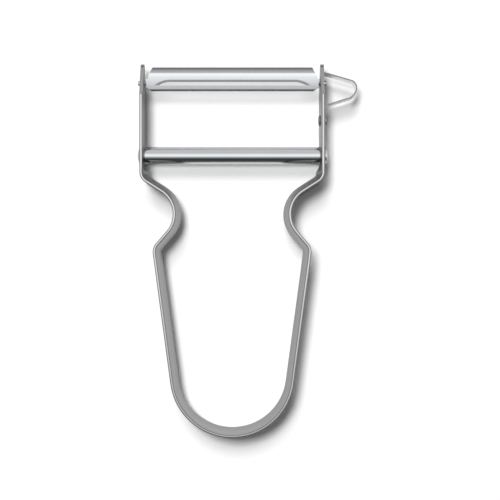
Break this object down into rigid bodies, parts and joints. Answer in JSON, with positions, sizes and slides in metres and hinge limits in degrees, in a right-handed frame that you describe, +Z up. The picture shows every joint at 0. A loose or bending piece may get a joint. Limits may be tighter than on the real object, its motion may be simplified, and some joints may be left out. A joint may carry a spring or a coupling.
{
  "type": "vegetable peeler",
  "caption": "Swivel vegetable peeler: a bent metal strip forms the grip and two arms that carry a slotted swinging blade, a cross bar and an eye remover.",
  "frame": {"origin": "on the table, in the middle of the strip's lower edge at the bottom of the grip, with the peeler lying flat", "axes": "+Y from the grip to the blade, +X to the arm with the eye remover, +Z up from the table"},
  "size_m": [0.0653, 0.1105, 0.012],
  "materials": {
    "satin_steel": "satin, drawn along the strip",
    "blade_steel": "ground and polished",
    "polished_bar": "polished",
    "rivet_steel": "bright, headed",
    "spring_steel": "bright rolled"
  },
  "bodies": {
    "frame": {"handle_band": "satin_steel", "spacer_tube": "polished_bar", "tie_rivet": "rivet_steel", "eye_remover": "spring_steel", "eye_remover_rivet": "rivet_steel"},
    "blade": {"blade": "blade_steel"}
  },
  "joints": [
    {"name": "blade_swivel", "type": "hinge", "parent": "frame", "child": "blade", "pos_m": [0, 0.1043, 0.006], "axis": [1, 0, 0], "range_deg": [-35, 35]}
  ]
}
